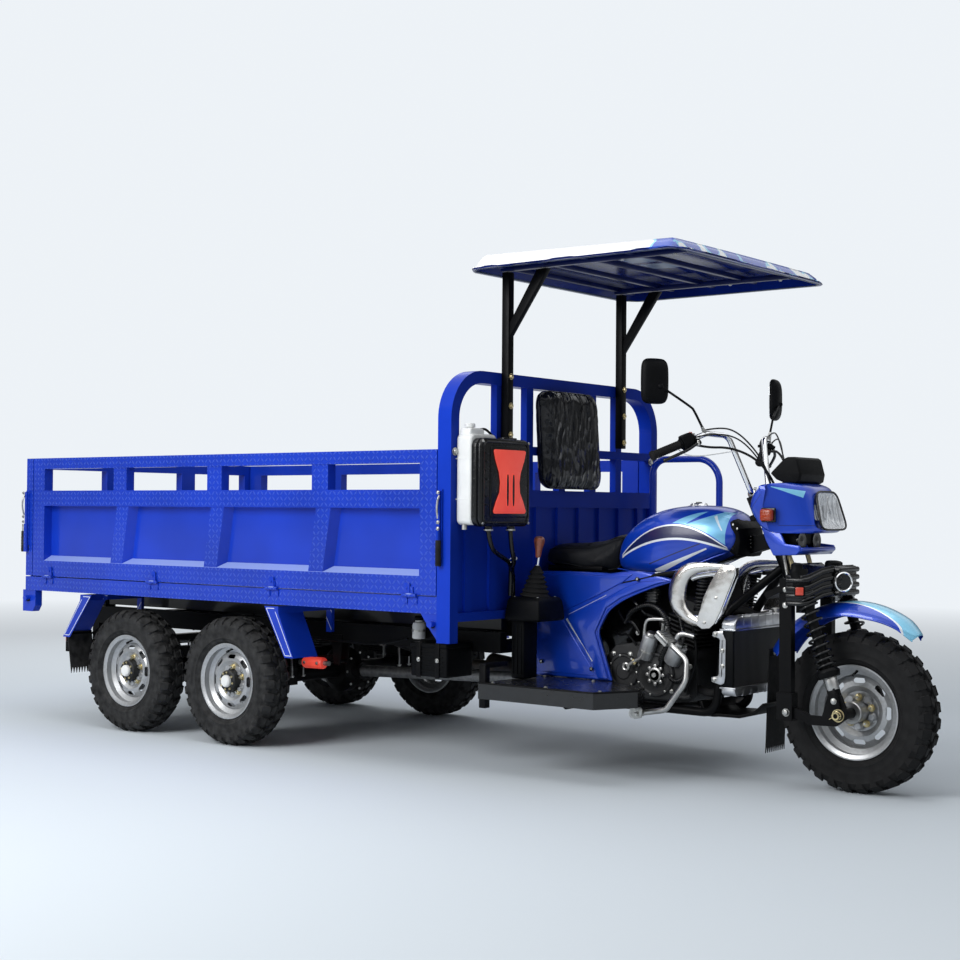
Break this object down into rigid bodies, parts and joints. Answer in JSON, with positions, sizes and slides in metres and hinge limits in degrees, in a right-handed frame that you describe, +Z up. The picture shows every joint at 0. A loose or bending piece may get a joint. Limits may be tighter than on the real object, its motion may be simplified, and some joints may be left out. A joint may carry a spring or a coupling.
{
  "type": "dump motor tricycle",
  "caption": "Motor tricycle with one steered front wheel, two driven rear axles and a tipping load bed with drop sides, under a small rider's canopy.",
  "frame": {"origin": "on the ground under the middle of the machine's length and width", "axes": "+X forward, +Y to the rider's left, +Z up"},
  "size_m": [4.447, 1.572, 2.089],
  "materials": {
    "amber_lens": "translucent",
    "black_plastic": "moulded",
    "blue_paint": "gloss",
    "chrome": "polished",
    "clear_lens": "clear",
    "engine_alloy": "cast",
    "frame_black": "satin",
    "red_lens": "translucent",
    "rim_silver": "satin",
    "roof_white": "gloss",
    "rubber": "matte",
    "seat_vinyl": "vinyl",
    "steel": "bright",
    "tyre": "matte",
    "white_plastic": "gloss"
  },
  "bodies": {
    "chassis": {"battery_box": "black_plastic", "brake_fluid_bottle": "white_plastic", "brake_pedal": "steel", "chassis_frame": "frame_black", "engine": "engine_alloy", "exhaust": "steel", "footboards": "frame_black", "front_cradle": "frame_black", "fuel_tank": "blue_paint", "gear_console": "black_plastic", "guard_rail": "blue_paint", "leaf_springs": "frame_black", "propshafts": "frame_black", "radiator": "engine_alloy", "rear_axle_1": "frame_black", "rear_axle_2": "frame_black", "rear_mudflaps": "rubber", "rear_mudguards": "blue_paint", "seat": "seat_vinyl", "side_covers": "blue_paint", "side_guards": "chrome", "tail_lamps": "red_lens", "tank_nose": "black_plastic"},
    "bed": {"bed_floor": "blue_paint", "bed_fittings": "blue_paint", "headboard": "blue_paint", "canopy_frame": "frame_black", "canopy_roof": "roof_white", "backrest": "seat_vinyl", "air_cleaner": "black_plastic", "water_tank": "white_plastic"},
    "steering": {"fork": "frame_black", "fork_springs": "frame_black", "fork_cover": "black_plastic", "front_fender": "blue_paint", "front_mudflap": "rubber", "handlebar": "chrome", "hand_controls": "black_plastic", "mirrors": "black_plastic", "headlight_shell": "blue_paint", "headlight_lens": "clear_lens", "indicators": "amber_lens", "instrument_pod": "black_plastic"},
    "ram_barrel": {"dump_ram_barrel": "frame_black"},
    "ram_rod": {"dump_ram_rod": "chrome"},
    "side_gate_right": {"side_gate_right": "blue_paint"},
    "side_gate_left": {"side_gate_left": "blue_paint"},
    "tailgate": {"tailgate": "blue_paint"},
    "wheel_front": {"tyre_front": "tyre", "rim_front": "rim_silver"},
    "wheel_rear_1_left": {"tyre_rear_1_left": "tyre", "rim_rear_1_left": "rim_silver"},
    "wheel_rear_1_right": {"tyre_rear_1_right": "tyre", "rim_rear_1_right": "rim_silver"},
    "wheel_rear_2_left": {"tyre_rear_2_left": "tyre", "rim_rear_2_left": "rim_silver"},
    "wheel_rear_2_right": {"tyre_rear_2_right": "tyre", "rim_rear_2_right": "rim_silver"}
  },
  "joints": [
    {"name": "steering", "type": "hinge", "parent": "chassis", "child": "steering", "pos_m": [1.5908, 0, 0.9], "axis": [-0.4067, 0, 0.9135], "range_deg": [-30, 30]},
    {"name": "front_wheel_spin", "type": "hinge", "parent": "steering", "child": "wheel_front", "pos_m": [1.9205, 0, 0.303], "axis": [0, 1, 0], "continuous": true},
    {"name": "rear_wheel_1_left_spin", "type": "hinge", "parent": "chassis", "child": "wheel_rear_1_left", "pos_m": [-0.7385, 0.694, 0.284], "axis": [0, 1, 0], "continuous": true},
    {"name": "rear_wheel_1_right_spin", "type": "hinge", "parent": "chassis", "child": "wheel_rear_1_right", "pos_m": [-0.7385, -0.694, 0.284], "axis": [0, 1, 0], "continuous": true},
    {"name": "rear_wheel_2_left_spin", "type": "hinge", "parent": "chassis", "child": "wheel_rear_2_left", "pos_m": [-1.4235, 0.694, 0.284], "axis": [0, 1, 0], "continuous": true},
    {"name": "rear_wheel_2_right_spin", "type": "hinge", "parent": "chassis", "child": "wheel_rear_2_right", "pos_m": [-1.4235, -0.694, 0.284], "axis": [0, 1, 0], "continuous": true},
    {"name": "bed_tip", "type": "hinge", "parent": "chassis", "child": "bed", "pos_m": [-2.1095, 0, 0.552], "axis": [0, -1, 0], "range_deg": [0, 45]},
    {"name": "ram_swing", "type": "hinge", "parent": "chassis", "child": "ram_barrel", "pos_m": [-0.1795, 0, 0.4], "axis": [0, -1, 0], "range_deg": [-24.59, 0]},
    {"name": "ram_extend", "type": "slide", "parent": "ram_barrel", "child": "ram_rod", "axis": [-0.9737, 0, 0.2279], "range_m": [0, 0.6384]},
    {"name": "side_gate_right_drop", "type": "hinge", "parent": "bed", "child": "side_gate_right", "pos_m": [-0.7795, -0.77, 0.706], "axis": [1, 0, 0], "range_deg": [0, 165]},
    {"name": "side_gate_left_drop", "type": "hinge", "parent": "bed", "child": "side_gate_left", "pos_m": [-0.7795, 0.77, 0.706], "axis": [-1, 0, 0], "range_deg": [0, 165]},
    {"name": "tailgate_drop", "type": "hinge", "parent": "bed", "child": "tailgate", "pos_m": [-2.2045, 0, 0.706], "axis": [0, -1, 0], "range_deg": [0, 110]}
  ],
  "couplings": [
    {"joint": "ram_swing", "follows": "bed_tip", "ratio": -0.53538},
    {"joint": "ram_extend", "follows": "bed_tip", "m_per_rad": 0.81031}
  ]
}
